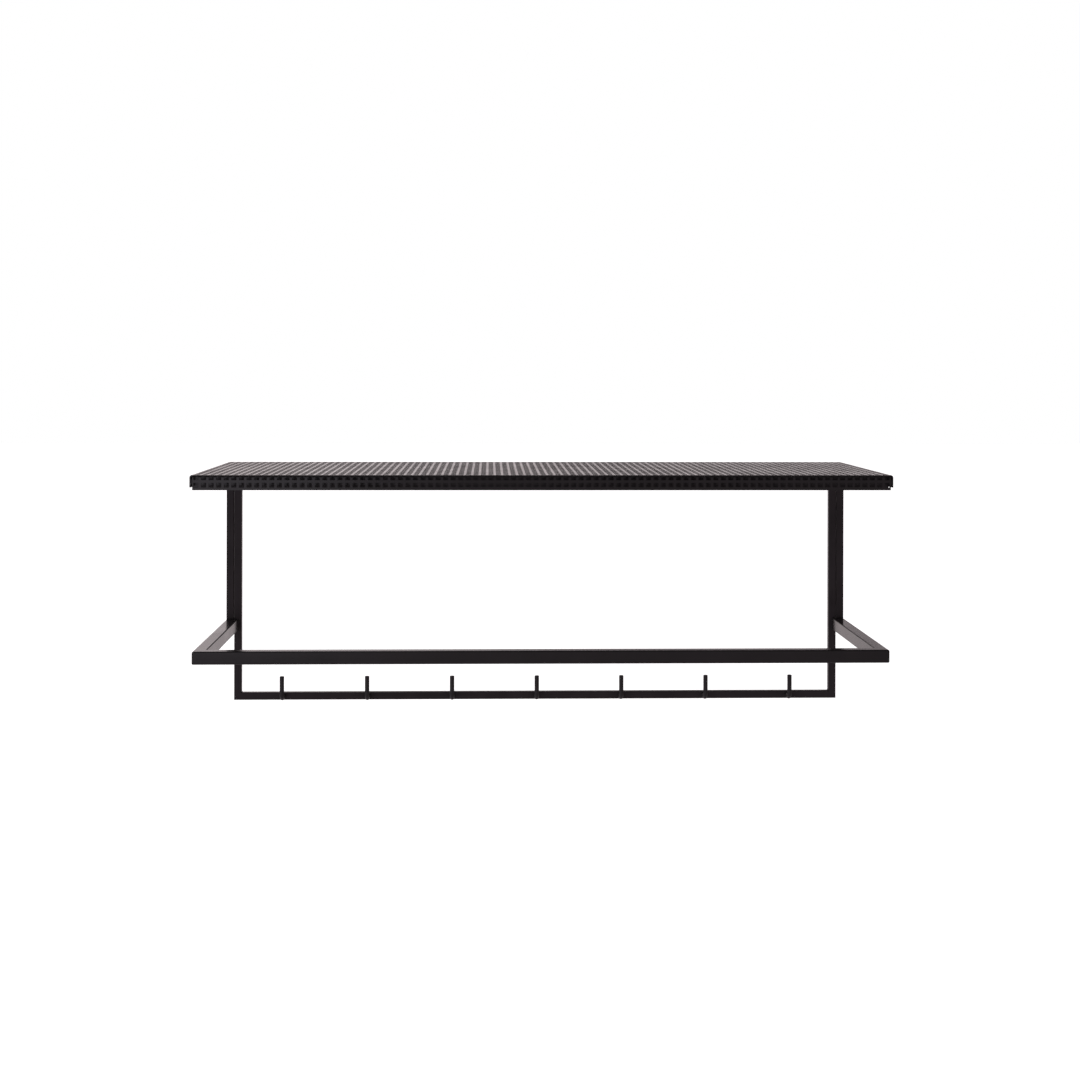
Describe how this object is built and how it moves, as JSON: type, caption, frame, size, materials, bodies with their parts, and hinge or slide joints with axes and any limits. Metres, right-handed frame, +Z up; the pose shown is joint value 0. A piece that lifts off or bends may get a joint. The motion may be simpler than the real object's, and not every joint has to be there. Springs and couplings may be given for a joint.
{
  "type": "wall coat rack with hat shelf",
  "caption": "Wall-mounted coat rack of square steel tube: perforated hat shelf with folded lip, clothes rail on arms, and a lower rail of upright coat hooks.",
  "frame": {"origin": "on the wall plane, midway between the two wall holes of the rear shelf tube, on their centre line", "axes": "+Z up, +Y into the wall along the wall holes, +X to the right as seen by someone facing the rack"},
  "size_m": [0.845, 0.303, 0.324],
  "materials": {
    "tube_coating": "satin black powder coat on steel tube",
    "sheet_coating": "satin black powder coat on perforated steel sheet",
    "hook_coating": "satin black powder coat on round steel bar"
  },
  "bodies": {
    "root": {"shelf_tray": "sheet_coating", "shelf_frame_front": "tube_coating", "shelf_frame_back": "tube_coating", "shelf_frame_left": "tube_coating", "shelf_frame_right": "tube_coating", "outer_post_left": "tube_coating", "outer_post_right": "tube_coating", "inner_post_left": "tube_coating", "inner_post_right": "tube_coating", "hook_rail": "tube_coating", "clothes_rail": "tube_coating", "arm_left": "tube_coating", "arm_right": "tube_coating", "coat_hook_1": "hook_coating", "coat_hook_2": "hook_coating", "coat_hook_3": "hook_coating", "coat_hook_4": "hook_coating", "coat_hook_5": "hook_coating", "coat_hook_6": "hook_coating", "coat_hook_7": "hook_coating"}
  },
  "joints": []
}
